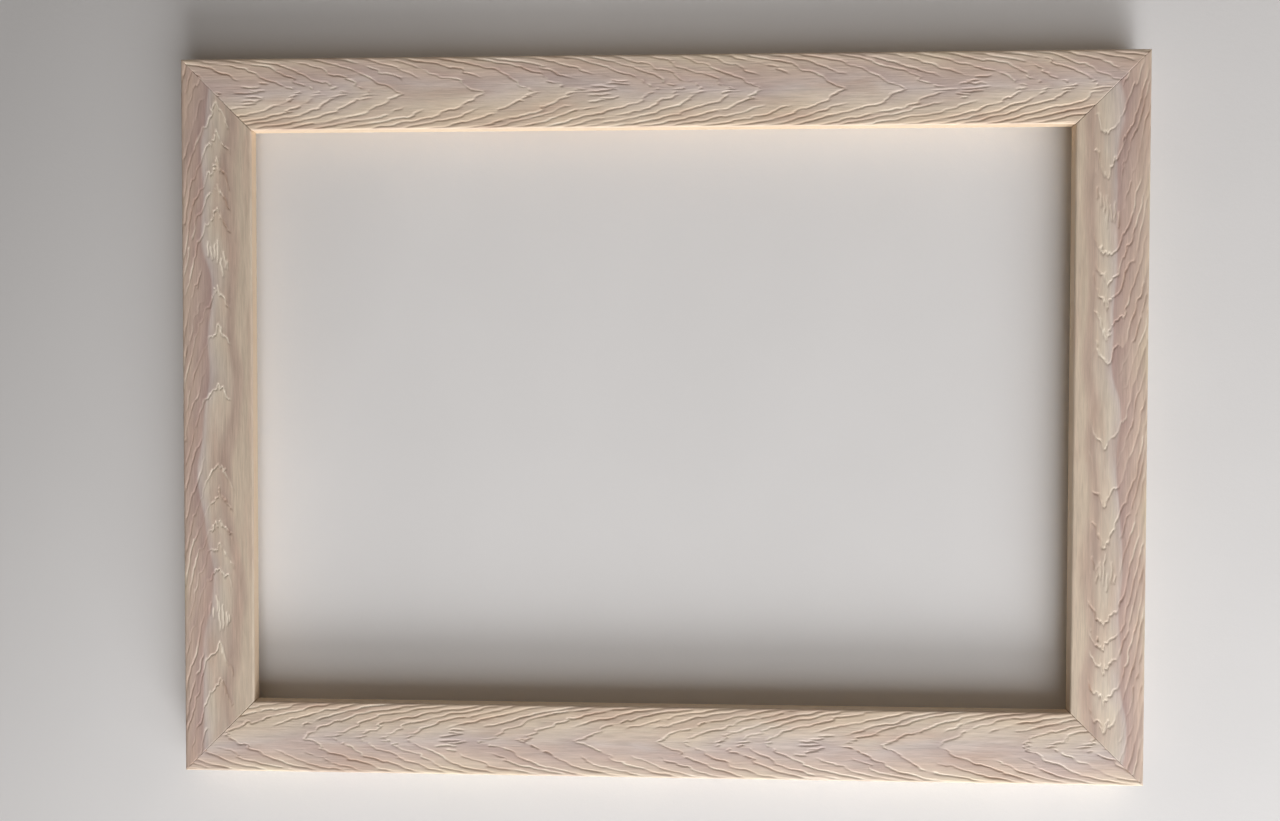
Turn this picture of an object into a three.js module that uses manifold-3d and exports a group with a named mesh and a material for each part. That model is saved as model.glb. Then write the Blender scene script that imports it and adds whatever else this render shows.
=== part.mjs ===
// An open picture frame, as it hangs on a wall: four mitred rails of one rebated moulding, corner nails,
// turn buttons that hold a picture in the rebate, D-ring hangers and rubber bumpers.
// Millimetres. +X is to the right seen from the front, +Z is up, and the front faces -Y.
// The origin is on the wall, halfway between the two points where the D-rings sit on their hooks.

import * as THREE from "three";
import { mergeVertices } from "three/addons/utils/BufferGeometryUtils.js";
import Module from "manifold-3d";

const wasm = await Module();
wasm.setup();

// Driving dimensions.
const SIGHT_WIDTH = 420; // the opening is A3
const SIGHT_HEIGHT = 297;
const FACE_WIDTH = 37;
const RAIL_DEPTH = 15;
const LIP_THICKNESS = 7;
const REBATE_WIDTH = 7;
const OUTER_EDGE_RADIUS = 1.6;
const SIGHT_EDGE_RADIUS = 1;
const BACK_EDGE_CHAMFER = 0.6;
const FACE_CROWN = 0.4;
const SEAT_GAP = 0.3; // between pieces that touch or run in each other
const PLATE_GAP = 0.2; // between a plate and the rail's back
const OVERSHOOT = 1; // how far a cutting shape runs out past the face it opens

// Rubber bumpers.
const BUMPER_THICKNESS = 3.5;
const BUMPER_RADIUS = 5;
const BUMPER_EDGE = 0.6;
const BUMPER_INSET = 8; // from the outer edges to a bumper's centre

// Corner nails, bent from sheet to a V and driven in from behind.
const NAIL_SHEET = 0.6;
const NAIL_WING = 6.5;
const NAIL_HEIGHT = 10;
const NAIL_HALF_ANGLE = Math.PI / 3;
const NAIL_INSETS = { outer: 15, inner: 24 }; // from the outer edges to the V's point

// Turn buttons.
const BUTTON_THICKNESS = 1;
const BUTTON_REACH = 17; // from the pivot to the centre of the tip's round end
const BUTTON_PIVOT_RADIUS = 4.5;
const BUTTON_TIP_RADIUS = 3.2;
const BUTTON_INSET = 23; // from the outer edge to the pivot
const BUTTON_SPACING = 210; // between the two on a long rail

// D-ring hangers.
const HANGER_DROP = 75; // from the top edge to the ring's axis
const HANGER_INSET = 15; // from the outer edge to the hanger's centre line
const STRAP_SHEET = 0.5;
const STRAP_HALF_WIDTH = 4.75;
const STRAP_LENGTH = 17; // from the ring's axis to the strap's lower end
const STRAP_SCREW_DROP = 9.5; // from the ring's axis to the screw
const RING_WIRE_RADIUS = 0.8;
const RING_HALF_WIDTH = 7;
const RING_STRAIGHT_SIDE = 4;
const RING_CORNER = 1.6;
const RING_BUTT_GAP = 0.4; // between the bent wire's two ends, inside the strap's eye

// Wood screws, all one size.
const SHANK_RADIUS = 1.3;
const SHANK_LENGTH = 8;
const POINT_LENGTH = 3;
const HEAD_RADIUS = 3.2;
const HEAD_HEIGHT = 1.3;
const SLOT_WIDTH = 0.8;
const SLOT_DEPTH = 0.6;

// Smoothness of round shapes.
const ROUND_SIDES = 24;
const SCREW_SIDES = 16;
const EDGE_STEPS = 4;
const WIRE_SIDES = 8;
const WIRE_STEPS = 48;

// Derived sizes.
const OUTER_WIDTH = SIGHT_WIDTH + 2 * FACE_WIDTH;
const OUTER_HEIGHT = SIGHT_HEIGHT + 2 * FACE_WIDTH;
const BACK_Y = -BUMPER_THICKNESS; // the rails' back, in front of the wall at y = 0
const FACE_Y = BACK_Y - RAIL_DEPTH;
const LIP_BACK_Y = FACE_Y + LIP_THICKNESS;
const PLATE_Y = BACK_Y + PLATE_GAP;
const BUTTON_SEAT_Y = PLATE_Y + BUTTON_THICKNESS + SEAT_GAP;
const STRAP_SEAT_Y = PLATE_Y + 2 * STRAP_SHEET + SEAT_GAP;
const HOLE_RADIUS = SHANK_RADIUS + SEAT_GAP;
const EYE_RADIUS = RING_WIRE_RADIUS + SEAT_GAP;
const EYE_OUTER_RADIUS = EYE_RADIUS + STRAP_SHEET;
const RING_AXIS_Y = PLATE_Y + EYE_OUTER_RADIUS;
const RING_AXIS_Z = OUTER_HEIGHT / 2 - HANGER_DROP; // above the frame's centre
const HOOK_Z = RING_AXIS_Z + RING_STRAIGHT_SIDE + RING_HALF_WIDTH - RING_WIRE_RADIUS;

const FINISHES = {
  wood: { color: 0xc3b2a2, roughness: 0.62, metalness: 0 },
  steel: { color: 0xb9bbbd, roughness: 0.35, metalness: 1 },
  brass: { color: 0xc9a860, roughness: 0.32, metalness: 1 },
  rubber: { color: 0x6d6a67, roughness: 0.8, metalness: 0 },
};

function piece(name, geometry, finish) {
  const mesh = new THREE.Mesh(geometry, new THREE.MeshStandardMaterial(FINISHES[finish]));
  mesh.name = name;
  return mesh;
}

// A closed geometry as a solid that can be cut and joined.
function solidOf(geometry) {
  const bare = geometry.clone();
  bare.deleteAttribute("normal");
  bare.deleteAttribute("uv");
  const merged = mergeVertices(bare, 1e-4);
  const corners = merged.index.array;
  const triangles = [];
  for (let i = 0; i < corners.length; i += 3) {
    const [a, b, c] = corners.slice(i, i + 3);
    if (a !== b && b !== c && c !== a) triangles.push(a, b, c);
  }
  return new wasm.Manifold(new wasm.Mesh({
    numProp: 3,
    vertProperties: new Float32Array(merged.attributes.position.array),
    triVerts: new Uint32Array(triangles),
  }));
}

function geometryOf(solid) {
  const mesh = solid.getMesh();
  const geometry = new THREE.BufferGeometry();
  geometry.setAttribute("position", new THREE.BufferAttribute(mesh.vertProperties, 3));
  geometry.setIndex(new THREE.BufferAttribute(mesh.triVerts, 1));
  const faceted = geometry.toNonIndexed();
  faceted.computeVertexNormals();
  return faceted;
}

// A shape drawn in X and Z, thickened along Y.
function slab(shape, fromY, toY) {
  const geometry = new THREE.ExtrudeGeometry(shape, {
    depth: toY - fromY,
    bevelEnabled: false,
    curveSegments: ROUND_SIDES / 2,
  });
  return geometry.rotateX(Math.PI / 2).translate(0, toY, 0);
}

// The moulding's section: x is the way out from the opening, with the outer edge at 0, and y is the depth.
function mouldingSection() {
  const sight = -FACE_WIDTH;
  const rebate = sight + REBATE_WIDTH;
  const edgeY = FACE_Y + FACE_CROWN;
  const section = new THREE.Shape();
  section.moveTo(-BACK_EDGE_CHAMFER, BACK_Y);
  section.lineTo(rebate, BACK_Y);
  section.lineTo(rebate, LIP_BACK_Y);
  section.lineTo(sight, LIP_BACK_Y);
  section.lineTo(sight, edgeY + SIGHT_EDGE_RADIUS);
  section.quadraticCurveTo(sight, edgeY, sight + SIGHT_EDGE_RADIUS, edgeY);
  section.quadraticCurveTo(sight / 2, FACE_Y - FACE_CROWN, -OUTER_EDGE_RADIUS, edgeY);
  section.quadraticCurveTo(0, edgeY, 0, edgeY + OUTER_EDGE_RADIUS);
  section.lineTo(0, BACK_Y - BACK_EDGE_CHAMFER);
  section.closePath();
  return section;
}

// One length of moulding, centred along X, with its outer edge at z = 0 and both ends mitred.
function mitredLength(outerLength) {
  const geometry = new THREE.ExtrudeGeometry(mouldingSection(), {
    depth: outerLength,
    bevelEnabled: false,
    curveSegments: EDGE_STEPS,
  });
  const endGap = SEAT_GAP / Math.SQRT2;
  const points = geometry.attributes.position;
  for (let i = 0; i < points.count; i += 1) {
    const outward = points.getX(i);
    const end = points.getZ(i) > outerLength / 2 ? -1 : 1;
    points.setXYZ(i, end * (outerLength / 2 + outward - endGap), points.getY(i), outward);
  }
  return geometry;
}

// A corner nail with its point at x = z = 0, straddling the diagonal between +X and +Z. Grown by a margin and
// run out past the rail's back, it is the pocket that the nail sits in.
function nailSolid(margin, overshoot) {
  const height = NAIL_HEIGHT + margin + overshoot;
  const [left, right] = [-1, 1].map((turn) => {
    const wing = new THREE.BoxGeometry(NAIL_WING + 2 * margin, height, NAIL_SHEET + 2 * margin);
    wing.translate(NAIL_WING / 2, BACK_Y + overshoot - height / 2, 0);
    wing.rotateY(-(Math.PI / 4 + turn * NAIL_HALF_ANGLE));
    return solidOf(wing);
  });
  return left.add(right);
}

// A slotted wood screw along Y, with the underside of its head at y = 0.
function screwGeometry() {
  const outline = [
    [0, -SHANK_LENGTH - POINT_LENGTH],
    [SHANK_RADIUS, -SHANK_LENGTH],
    [SHANK_RADIUS, 0],
    [HEAD_RADIUS, 0],
    [HEAD_RADIUS, 0.45 * HEAD_HEIGHT],
    [0.75 * HEAD_RADIUS, 0.9 * HEAD_HEIGHT],
    [0.4 * HEAD_RADIUS, HEAD_HEIGHT],
    [0, HEAD_HEIGHT],
  ];
  const body = new THREE.LatheGeometry(outline.map(([r, y]) => new THREE.Vector2(r, y)), SCREW_SIDES);
  const slot = new THREE.BoxGeometry(3 * HEAD_RADIUS, SLOT_DEPTH + OVERSHOOT, SLOT_WIDTH);
  slot.translate(0, HEAD_HEIGHT + (OVERSHOOT - SLOT_DEPTH) / 2, 0);
  return geometryOf(solidOf(body).subtract(solidOf(slot)));
}

// The hole in a rail for a screw whose head is seated at seatY.
function screwHole(along, inset, seatY) {
  const bottom = seatY - SHANK_LENGTH - POINT_LENGTH - SEAT_GAP;
  const top = BACK_Y + OVERSHOOT;
  const hole = new THREE.CylinderGeometry(HOLE_RADIUS, HOLE_RADIUS, top - bottom, SCREW_SIDES);
  return solidOf(hole.translate(along, (top + bottom) / 2, -inset));
}

// A turn button with its pivot at the origin and its long arm along +X.
function buttonGeometry() {
  const slope = Math.asin((BUTTON_PIVOT_RADIUS - BUTTON_TIP_RADIUS) / BUTTON_REACH);
  const outline = new THREE.Shape();
  outline.absarc(0, 0, BUTTON_PIVOT_RADIUS, Math.PI / 2 - slope, 1.5 * Math.PI + slope, false);
  outline.absarc(BUTTON_REACH, 0, BUTTON_TIP_RADIUS, 1.5 * Math.PI + slope, 2.5 * Math.PI - slope, false);
  const hole = new THREE.Path();
  hole.absarc(0, 0, HOLE_RADIUS, 0, 2 * Math.PI, true);
  outline.holes.push(hole);
  return slab(outline, PLATE_Y, PLATE_Y + BUTTON_THICKNESS);
}

// A hanger's strap: one sheet folded double, with an eye round the ring's bar at its top. The eye is at the
// origin, along X.
function strapGeometry() {
  const endZ = STRAP_HALF_WIDTH - STRAP_LENGTH;
  const leaf = new THREE.Shape();
  leaf.moveTo(STRAP_HALF_WIDTH, 0);
  leaf.lineTo(-STRAP_HALF_WIDTH, 0);
  leaf.absarc(0, endZ, STRAP_HALF_WIDTH, Math.PI, 2 * Math.PI, false);
  const hole = new THREE.Path();
  hole.absarc(0, -STRAP_SCREW_DROP, HOLE_RADIUS, 0, 2 * Math.PI, true);
  leaf.holes.push(hole);
  const leaves = solidOf(slab(leaf, -EYE_OUTER_RADIUS, 2 * STRAP_SHEET - EYE_OUTER_RADIUS));

  const [eye, bore] = [[EYE_OUTER_RADIUS, 2], [EYE_RADIUS, 3]].map(([radius, halfWidths]) => {
    const round = new THREE.CylinderGeometry(radius, radius, halfWidths * STRAP_HALF_WIDTH, ROUND_SIDES);
    return solidOf(round.rotateZ(Math.PI / 2));
  });
  return geometryOf(leaves.add(eye).subtract(bore));
}

// The ring's round top, from its right side over to its left.
class RingTop extends THREE.Curve {
  getPoint(t, target = new THREE.Vector3()) {
    const angle = Math.PI * t;
    return target.set(
      RING_HALF_WIDTH * Math.cos(angle), 0, RING_STRAIGHT_SIDE + RING_HALF_WIDTH * Math.sin(angle));
  }
}

// A D-ring, bent from wire: its bar lies along X through the origin and its loop stands up.
function ringGeometry() {
  const at = (x, z) => new THREE.Vector3(x, 0, z);
  const side = RING_HALF_WIDTH;
  const wire = new THREE.CurvePath();
  wire.add(new THREE.LineCurve3(at(RING_BUTT_GAP / 2, 0), at(side - RING_CORNER, 0)));
  wire.add(new THREE.QuadraticBezierCurve3(at(side - RING_CORNER, 0), at(side, 0), at(side, RING_CORNER)));
  wire.add(new THREE.LineCurve3(at(side, RING_CORNER), at(side, RING_STRAIGHT_SIDE)));
  wire.add(new RingTop());
  wire.add(new THREE.LineCurve3(at(-side, RING_STRAIGHT_SIDE), at(-side, RING_CORNER)));
  wire.add(new THREE.QuadraticBezierCurve3(at(-side, RING_CORNER), at(-side, 0), at(RING_CORNER - side, 0)));
  wire.add(new THREE.LineCurve3(at(RING_CORNER - side, 0), at(-RING_BUTT_GAP / 2, 0)));

  const section = new THREE.Shape();
  section.absarc(0, 0, RING_WIRE_RADIUS, 0, 2 * Math.PI, false);
  return new THREE.ExtrudeGeometry(section, {
    extrudePath: wire,
    steps: WIRE_STEPS,
    curveSegments: WIRE_SIDES,
    bevelEnabled: false,
  });
}

// A rubber bumper: a short drum whose far end rests on the wall.
function bumperGeometry() {
  const outline = [
    [0, BACK_Y + SEAT_GAP],
    [BUMPER_RADIUS, BACK_Y + SEAT_GAP],
    [BUMPER_RADIUS, -BUMPER_EDGE],
    [BUMPER_RADIUS - BUMPER_EDGE, 0],
    [0, 0],
  ];
  return new THREE.LatheGeometry(outline.map(([r, y]) => new THREE.Vector2(r, y)), ROUND_SIDES);
}

// A rail with its turn buttons, in a group turned so that the rail's +X runs clockwise round the frame.
function railGroup(name, { quarterTurns, outerLength, edgeOut, buttons, hangerAlong }) {
  let solid = solidOf(mitredLength(outerLength));
  for (const end of [-1, 1]) {
    for (const inset of Object.values(NAIL_INSETS)) {
      const turned = nailSolid(SEAT_GAP, OVERSHOOT).rotate([0, end > 0 ? 0 : -90, 0]);
      solid = solid.subtract(turned.translate([end * (outerLength / 2 - inset), 0, -inset]));
    }
  }
  if (hangerAlong !== undefined) {
    solid = solid.subtract(screwHole(hangerAlong, HANGER_INSET, STRAP_SEAT_Y));
  }

  const group = new THREE.Group();
  group.rotation.y = quarterTurns * Math.PI / 2;
  const atEdge = new THREE.Group();
  atEdge.position.z = edgeOut;
  group.add(atEdge);
  for (const [place, along] of Object.entries(buttons)) {
    solid = solid.subtract(screwHole(along, BUTTON_INSET, BUTTON_SEAT_Y));
    const button = piece(`turn_button_${place}`, buttonGeometry(), "brass");
    const screw = piece(`button_screw_${place}`, screwGeometry(), "steel");
    button.position.set(along, 0, -BUTTON_INSET);
    screw.position.set(along, BUTTON_SEAT_Y, -BUTTON_INSET);
    atEdge.add(button, screw);
  }
  atEdge.add(piece(`${name}_rail`, geometryOf(solid), "wood"));
  return group;
}

// A hanger: its strap, the ring in the strap's eye, and the screw that holds the strap.
function hangerGroup(name) {
  const screw = piece(`hanger_screw_${name}`, screwGeometry(), "steel");
  screw.position.set(0, STRAP_SEAT_Y - RING_AXIS_Y, -STRAP_SCREW_DROP);
  const group = new THREE.Group();
  group.add(piece(`hanger_strap_${name}`, strapGeometry(), "steel"));
  group.add(piece(`hanger_ring_${name}`, ringGeometry(), "steel"));
  group.add(screw);
  return group;
}

const longRail = { outerLength: OUTER_WIDTH, edgeOut: OUTER_HEIGHT / 2 };
const shortRail = { outerLength: OUTER_HEIGHT, edgeOut: OUTER_WIDTH / 2 };
const fromMiddle = BUTTON_SPACING / 2;
const hangerScrewUp = RING_AXIS_Z - STRAP_SCREW_DROP;

const RAILS = {
  top: { ...longRail, quarterTurns: 0, buttons: { top_left: -fromMiddle, top_right: fromMiddle } },
  right: { ...shortRail, quarterTurns: 1, buttons: { right: 0 }, hangerAlong: -hangerScrewUp },
  bottom: { ...longRail, quarterTurns: 2, buttons: { bottom_right: -fromMiddle, bottom_left: fromMiddle } },
  left: { ...shortRail, quarterTurns: 3, buttons: { left: 0 }, hangerAlong: hangerScrewUp },
};

const CORNERS = {
  top_left: { x: -1, z: 1, quarterTurns: 3 },
  top_right: { x: 1, z: 1, quarterTurns: 0 },
  bottom_right: { x: 1, z: -1, quarterTurns: 1 },
  bottom_left: { x: -1, z: -1, quarterTurns: 2 },
};

const centred = new THREE.Group();
centred.position.z = -HOOK_Z;

for (const [name, rail] of Object.entries(RAILS)) {
  centred.add(railGroup(name, rail));
}

for (const [name, corner] of Object.entries(CORNERS)) {
  const fromCorner = (inset) => new THREE.Vector3(
    corner.x * (OUTER_WIDTH / 2 - inset), 0, corner.z * (OUTER_HEIGHT / 2 - inset));
  for (const [place, inset] of Object.entries(NAIL_INSETS)) {
    const nail = piece(`corner_nail_${name}_${place}`, geometryOf(nailSolid(0, 0)), "steel");
    nail.rotation.y = corner.quarterTurns * Math.PI / 2;
    nail.position.copy(fromCorner(inset));
    centred.add(nail);
  }
  const bumper = piece(`bumper_${name}`, bumperGeometry(), "rubber");
  bumper.position.copy(fromCorner(BUMPER_INSET));
  centred.add(bumper);
}

for (const [name, x] of [["left", -1], ["right", 1]]) {
  const hanger = hangerGroup(name);
  hanger.position.set(x * (OUTER_WIDTH / 2 - HANGER_INSET), RING_AXIS_Y, RING_AXIS_Z);
  centred.add(hanger);
}

const frame = new THREE.Group();
frame.name = "picture_frame";
frame.add(centred);

export default frame;
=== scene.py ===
"""An open picture frame hanging on a wall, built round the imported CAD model.

The model is in metres: +X is to the right seen from the front, +Z is up, the front faces -Y and the wall
is at y = 0. Mouldings and small hardware are worked out in millimetres, and scaled as their meshes are
made. Angles are in radians.
"""

import math

import bpy
import numpy as np
from mathutils import Matrix, Vector


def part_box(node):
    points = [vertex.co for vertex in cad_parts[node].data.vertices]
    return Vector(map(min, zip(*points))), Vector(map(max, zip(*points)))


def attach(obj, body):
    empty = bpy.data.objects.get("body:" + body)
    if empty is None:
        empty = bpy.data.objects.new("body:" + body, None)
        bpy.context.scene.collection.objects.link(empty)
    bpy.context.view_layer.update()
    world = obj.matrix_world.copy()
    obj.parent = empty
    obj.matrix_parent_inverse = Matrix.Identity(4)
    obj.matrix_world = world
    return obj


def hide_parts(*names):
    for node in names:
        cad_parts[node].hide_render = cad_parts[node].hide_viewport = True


MM = 0.001

# The camera. The offset is where it sees the middle of the opening, on the plane of the face, in its own
# axes: right, up and back.
CAMERA_OFFSET = (8.4, -4.2, -511.6)
CAMERA_PITCH = math.radians(1.15)
CAMERA_YAW = math.radians(-2.23)
CAMERA_ROLL = math.radians(-0.16)
CAMERA_LENS = 28.125
CAMERA_SENSOR = 36.0

# The moulding's section, as in the CAD model.
FACE_WIDTH = 37.0
OUTER_ROUNDING = 1.6
SIGHT_ROUNDING = 1.0
CROWN = 0.4
LIP_THICKNESS = 7.0
LIP_EDGE = 0.3
REBATE_WIDTH = 7.0
BACK_CHAMFER = 0.6
MITRE_GAP_OUTER = 0.01  # along the rail, at the outer corner and at the sight corner
MITRE_GAP_SIGHT = 0.16

# The embossed grain, in millimetres. Places are measured along each rail, clockwise round the frame.
RELIEF_DEPTH = 0.45
GROOVE_HALF_WIDTHS = (0.32, 0.46)  # before and after a line
GRAIN_PERIOD = 185.0
FIRST_KNOT = {"top": 36.7, "right": 79.0, "bottom": -18.0, "left": 83.0}
# How far after a knot each arrow-shaped line has its tip, and how far that tip is broken into hooks.
ARROWS = (
    (22.7, 1.2),
    (36.5, 1.7),
    (48.5, 1.8),
    (63.5, 1.6),
    (78.0, 0.5),
    (120.0, 0.4),
    (148.5, 0.9),
    (166.0, 1.1),
)
# How an arrow's arms sweep back: their slope, how much they curve, and how far from the tip that starts.
LONG_OUTER_ARMS = (2.1, 0.30, 11.0)
SHORT_OUTER_ARMS = (1.2, 0.12, 4.0)
INNER_ARMS = (1.3, 0.15, 3.0)
TIP_LENGTH, TIP_HALF_WIDTH = 0.8, 0.9  # the point that each tip is drawn out to
# The lines bulge forwards where they pass a knot: how far, and for how long and how wide.
KNOT_BULGE = (9.0, 17.0, 7.0)
# How the lines stray: how far, and how long and how wide each stray is. The arms stray more away from
# the tips, all the lines are a little ragged, and they jog between one side and the other.
ARM_SWAY = (3.2, 30.0, 6.0)
ARM_WAVER = (1.9, 11.0, 2.2)
RAGGEDNESS = (0.8, 3.6, 1.2)
JOG = 1.2
JOG_NOISE = (5.0, 6.0, 2.4)
HOOK_SWAY = (0.3, 14.0, 3.0)
SIDE_LINES = (6.0, 92.0, 106.0, 134.0, 176.0)  # lines that never reach the middle
TIPS_OFF_MIDDLE = {"top": 0.0, "right": 2.8, "bottom": 0.0, "left": 0.9}  # to the sight side
INNER_ARM_LENGTH = 5.6  # how far in from the tips the lines of the short rails go
SHORT_RAIL_HOOKS = 0.55  # the hooks of the short rails, as a part of those in ARROWS
HOOK_SPACING = 1.9
HOOK_RISE = 0.75  # the part of a hook's spacing in which the line runs forward
HOOK_GAP = 0.12  # the part of it, at each end, in which the line is broken
DEEPLY_HOOKED = 1.0  # lines with longer hooks than this are broken between them
KNOT_DASHES = 7
DASH_SPACING = 1.75
DASH_STAGGER = 1.2  # how far each dash lies back from the last
DASH_HALF_LENGTH = 7.5  # in the middle of a knot
DASH_SHORTENING = 1.2  # from each dash to the next one out
PLAIN_TINT = 0.6

# How finely the mouldings are sampled, and between which rows of the section the face and its grain lie.
RAIL_COLUMNS = 770
ROUNDING_STEPS = 4
FACE_ROWS = 100
FACE_START = 1 + ROUNDING_STEPS
FACE_END = FACE_START + FACE_ROWS
TEXTURED_END = FACE_END + ROUNDING_STEPS
TEXTURED = slice(1, TEXTURED_END + 1)

# Hardware, as in the CAD model.
SHANK_RADIUS = 1.3
SHANK_LENGTH = 8.0
POINT_LENGTH = 3.0
PLAIN_NECK = 1.2
THREAD_DEPTH = 0.35
THREAD_PITCH = 1.4
HEAD_RADIUS = 3.2
HEAD_HEIGHT = 1.3
HEAD_RIM = 0.4 * HEAD_HEIGHT  # the straight part below the dome
HEAD_CHAMFER = 0.12
SLOT_WIDTH = 0.8
SLOT_DEPTH = 0.6
HOLE_RADIUS = 1.6
BUTTON_THICKNESS = 1.0
BUTTON_REACH = 17.0
BUTTON_PIVOT_RADIUS = 4.5
BUTTON_TIP_RADIUS = 3.2
STRAP_SHEET = 0.5
STRAP_HALF_WIDTH = 4.75
STRAP_LENGTH = 17.0
STRAP_SCREW_DROP = 9.5
EYE_BEND = 0.12 * math.pi  # how far round the eye bends at its back, below the level of the bar
BACK_LEAF_DROP = 1.9  # how far below the bar the back leaf runs into the eye
SEAM_DROP = 3.0  # how far below the bar the seam between the two leaves starts
SEAM_HALF_WIDTH = 0.04
EYE_RADIUS = 1.1
WIRE_RADIUS = 0.8
WIRE_SIDES = 20
RING_HALF_WIDTH = 7.0
RING_STRAIGHT_SIDE = 4.0
RING_CORNER = 1.6
RING_BUTT_GAP = 0.4
NAIL_INSETS = (15.0, 24.0)
NAIL_WING = 6.5
NAIL_SHEET = 0.6
NAIL_HEIGHT = 10.0
NAIL_HALF_ANGLE = math.radians(60)
FOOT_RADIUS = 5.0
FOOT_HEIGHT = 3.2
FOOT_ROUNDING = 0.8
FOOT_DIMPLE_RADIUS = 2.4
FOOT_DIMPLE = 0.16
SCREW_TURN = 2.4  # how much further each screw is turned than the one before
NAIL_MARGIN = 0.3  # the room round a nail in its pocket, and below a screw in its hole
OVERSHOOT = 1.0  # how far a cutting shape runs out past the face it opens
SHARP_ANGLE = math.radians(35)  # edges sharper than this are softened

# Light: a window low down on the right, a wider pale glow above it, and one that only reaches the back.
# Each has a direction and a distance from the middle of the face, a size, a power and a colour.
COOL, WARM = (0.98, 0.983, 1.0), (1.0, 0.83, 0.68)
LIGHTS = {
    "window": ((0.24, -0.30, -0.92), 2.9, (1.9, 1.0), 97.0, COOL),
    "glow": ((0.42, -0.70, -0.62), 1.6, (2.2, 1.3), 15.8, COOL),
    "behind": ((-0.5, 1.0, 0.4), 2.0, (1.5, 1.5), 40.0, COOL),
}
# The even light that the room gives back: its direction, strength and spread.
ROOM_LIGHT = ((-0.1, -1.0, 0.3), 0.42, math.radians(100))
BACKDROP = (0.66, 0.66, 0.65, 1.0)

# The wall, in metres. The gap keeps it clear of the feet.
WALL_HALF_SIZE = 8.0
WALL_GAP = 0.0002
# The wall's paint is darker towards its upper left, a painted shade: in what direction, from where and up
# to where.
PAINTED_SHADE_SIDE = (-0.9, 0.0, 0.43)
PAINTED_SHADE_START, PAINTED_SHADE_END = 0.10, 0.35
PAINTED_SHADE_COLOUR = (0.57, 0.565, 0.56, 1.0)

# Each rail's quarter turns round the frame, from the top one, and the corners where it starts and ends.
RAILS = {
    "top": (0, (-1, 1), (1, 1)),
    "right": (1, (1, 1), (1, -1)),
    "bottom": (2, (1, -1), (-1, -1)),
    "left": (3, (-1, -1), (-1, 1)),
}

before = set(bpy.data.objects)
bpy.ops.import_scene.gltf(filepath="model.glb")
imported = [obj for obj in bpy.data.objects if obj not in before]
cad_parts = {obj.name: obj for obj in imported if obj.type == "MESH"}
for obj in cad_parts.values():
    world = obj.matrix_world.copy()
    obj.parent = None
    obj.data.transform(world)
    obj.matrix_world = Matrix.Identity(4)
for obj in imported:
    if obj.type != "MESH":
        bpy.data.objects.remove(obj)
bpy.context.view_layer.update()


# ---------------------------------------------------------------- small helpers


def smooth_ramp(start, end, x):
    """0 before start, 1 after end, with a smooth step between them."""
    t = np.clip((x - start) / (end - start), 0.0, 1.0)
    return t * t * (3.0 - 2.0 * t)


def value_noise(x, y, seed):
    """Smooth noise from -1 to 1 whose lumps are one unit across."""
    cells = 256
    table = np.random.default_rng(seed).uniform(-1.0, 1.0, (cells, cells))
    low_x, low_y = np.floor(x).astype(int), np.floor(y).astype(int)
    along, up = smooth_ramp(0.0, 1.0, x - low_x), smooth_ramp(0.0, 1.0, y - low_y)
    x0, y0 = low_x % cells, low_y % cells
    x1, y1 = (low_x + 1) % cells, (low_y + 1) % cells
    near = table[x0, y0] * (1.0 - along) + table[x1, y0] * along
    far = table[x0, y1] * (1.0 - along) + table[x1, y1] * along
    return near * (1.0 - up) + far * up


def grid_faces(rows, columns, close_rows=False, close_columns=False):
    """Quads between the points of a grid whose rows come one after another."""
    first_rows = np.arange(rows if close_rows else rows - 1)
    first_columns = np.arange(columns if close_columns else columns - 1)
    row, column = (a.ravel() for a in np.meshgrid(first_rows, first_columns, indexing="ij"))
    next_row, next_column = (row + 1) % rows, (column + 1) % columns
    corners = [(row, column), (row, next_column), (next_row, next_column), (next_row, column)]
    return np.stack([r * columns + c for r, c in corners], axis=1).tolist()


def read_points(mesh):
    """A mesh's points, in metres."""
    points = np.empty(3 * len(mesh.vertices))
    mesh.vertices.foreach_get("co", points)
    return points.reshape(-1, 3)


def new_solid(name, points, faces, materials=(), smooth=True):
    """A closed mesh object from points in millimetres, with its faces turned outwards."""
    mesh = bpy.data.meshes.new(name)
    mesh.from_pydata((np.asarray(points) * MM).tolist(), [], faces)
    mesh.polygons.foreach_set("use_smooth", np.full(len(faces), smooth))
    for material in materials:
        mesh.materials.append(material)
    corners = np.empty(3 * len(mesh.loop_triangles), dtype=int)
    mesh.loop_triangles.foreach_get("vertices", corners)
    a, b, c = read_points(mesh)[corners.reshape(-1, 3)].transpose(1, 0, 2)
    if np.einsum("ij,ij->", a, np.cross(b, c)) < 0.0:
        mesh.flip_normals()
    obj = bpy.data.objects.new(name, mesh)
    bpy.context.scene.collection.objects.link(obj)
    return obj


def apply_modifiers(obj):
    """Turns an object's modifiers into plain mesh."""
    evaluated = obj.evaluated_get(bpy.context.evaluated_depsgraph_get())
    old_mesh = obj.data
    obj.data = bpy.data.meshes.new_from_object(evaluated)
    obj.data.name = old_mesh.name
    obj.modifiers.clear()
    bpy.data.meshes.remove(old_mesh)


def combine(obj, other, operation):
    """Joins two closed meshes, cuts one with the other or keeps what they share. The other is used up."""
    modifier = obj.modifiers.new(operation, "BOOLEAN")
    modifier.operation = operation
    modifier.solver = "MANIFOLD"
    modifier.object = other
    apply_modifiers(obj)
    used_up = other.data
    bpy.data.objects.remove(other)
    bpy.data.meshes.remove(used_up)


def soften_edges(obj, width):
    """Bevels an object's sharp edges and shades it smooth."""
    bevel = obj.modifiers.new("bevel", "BEVEL")
    bevel.width = width * MM
    bevel.segments = 3
    bevel.limit_method = "ANGLE"
    bevel.angle_limit = SHARP_ANGLE
    apply_modifiers(obj)
    obj.data.polygons.foreach_set("use_smooth", np.ones(len(obj.data.polygons), dtype=bool))


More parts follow.
